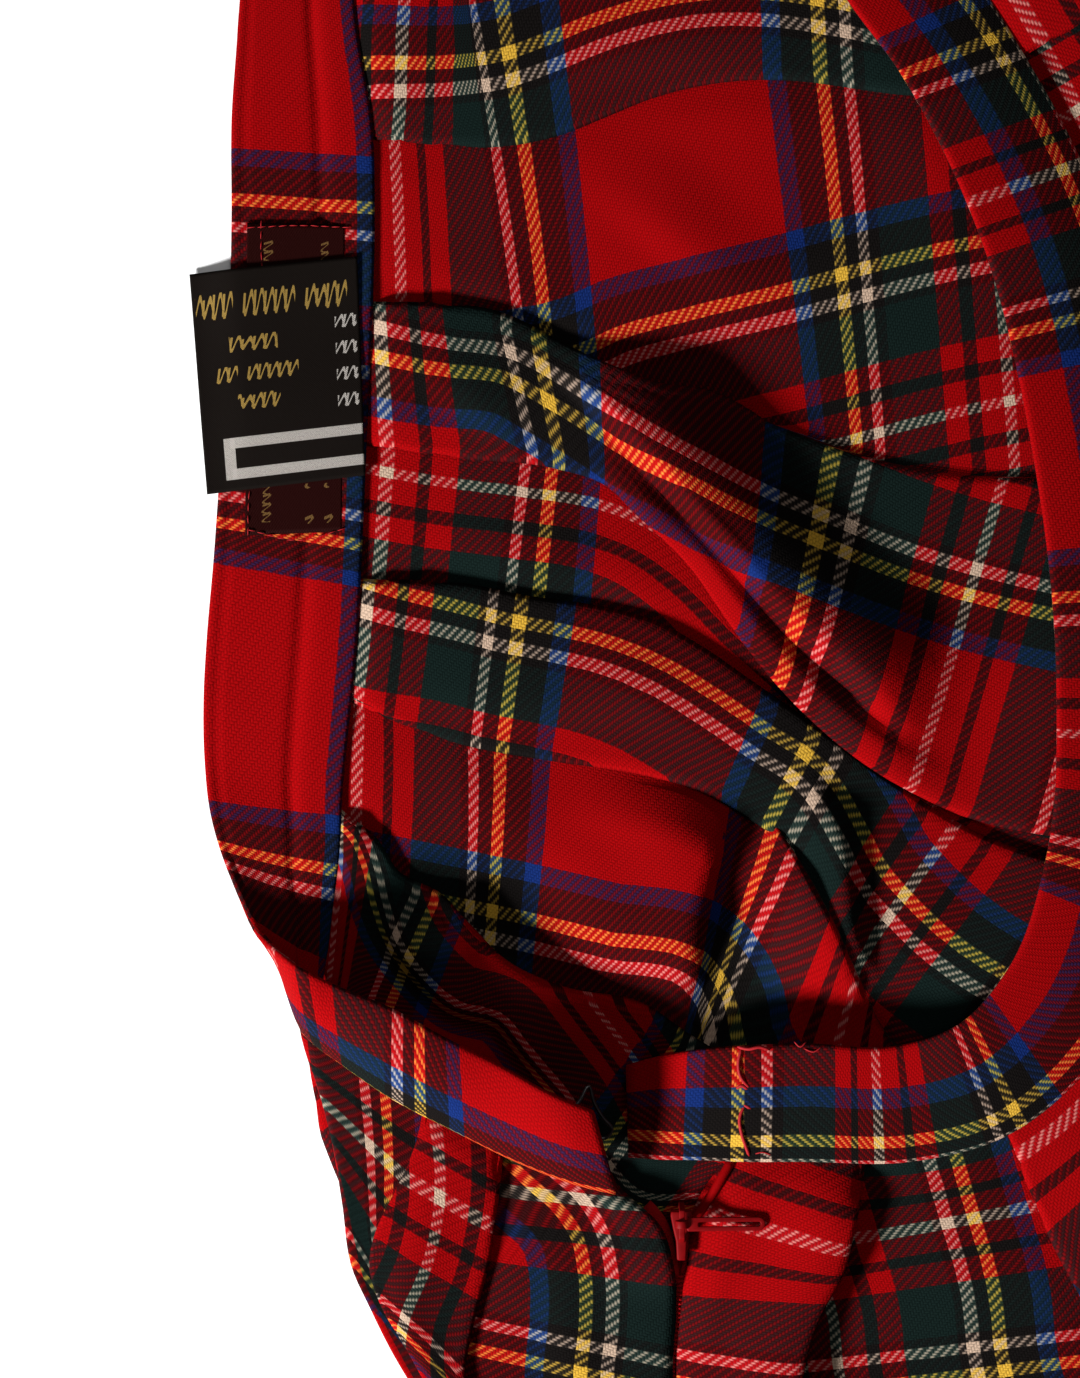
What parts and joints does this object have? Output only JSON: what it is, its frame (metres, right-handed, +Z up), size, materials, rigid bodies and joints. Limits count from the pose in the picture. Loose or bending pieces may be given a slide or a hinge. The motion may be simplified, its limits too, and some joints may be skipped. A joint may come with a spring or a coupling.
{
  "type": "pleated mini skirt",
  "caption": "Tartan wool mini skirt with pressed box pleats, zip and waistband, laid flat with its waist pulled open to show the inside of the back.",
  "frame": {"origin": "middle of the laid skirt's box, on the surface that it lies on", "axes": "+X from the waist towards the centre back's hem, +Y up the picture, +Z up from the surface"},
  "size_m": [0.5606, 0.6784, 0.0209],
  "materials": {
    "tartan_wool": "soft brushed wool twill, red tartan",
    "brown_label": "dense dark brown woven ribbon",
    "black_satin": "smooth black satin ribbon",
    "zip_tape": "red woven zip tape",
    "painted_zip_metal": "red enamel over metal",
    "hook_wire": "dark bent wire"
  },
  "bodies": {
    "skirt": {"back_panel": "tartan_wool", "front_panel": "tartan_wool", "waistband": "tartan_wool", "woven_label": "brown_label", "care_label": "black_satin", "zip_tape_left": "zip_tape", "zip_tape_right": "zip_tape", "zip_chain": "painted_zip_metal", "zip_slider": "painted_zip_metal", "waist_hook": "hook_wire"},
    "pull": {"zip_pull_tab": "painted_zip_metal"}
  },
  "joints": [
    {"name": "pull_tab_flip", "type": "hinge", "parent": "skirt", "child": "pull", "pos_m": [-0.17598, -0.10203, 0.0114], "axis": [0, -1, 0], "range_deg": [0, 150]}
  ]
}
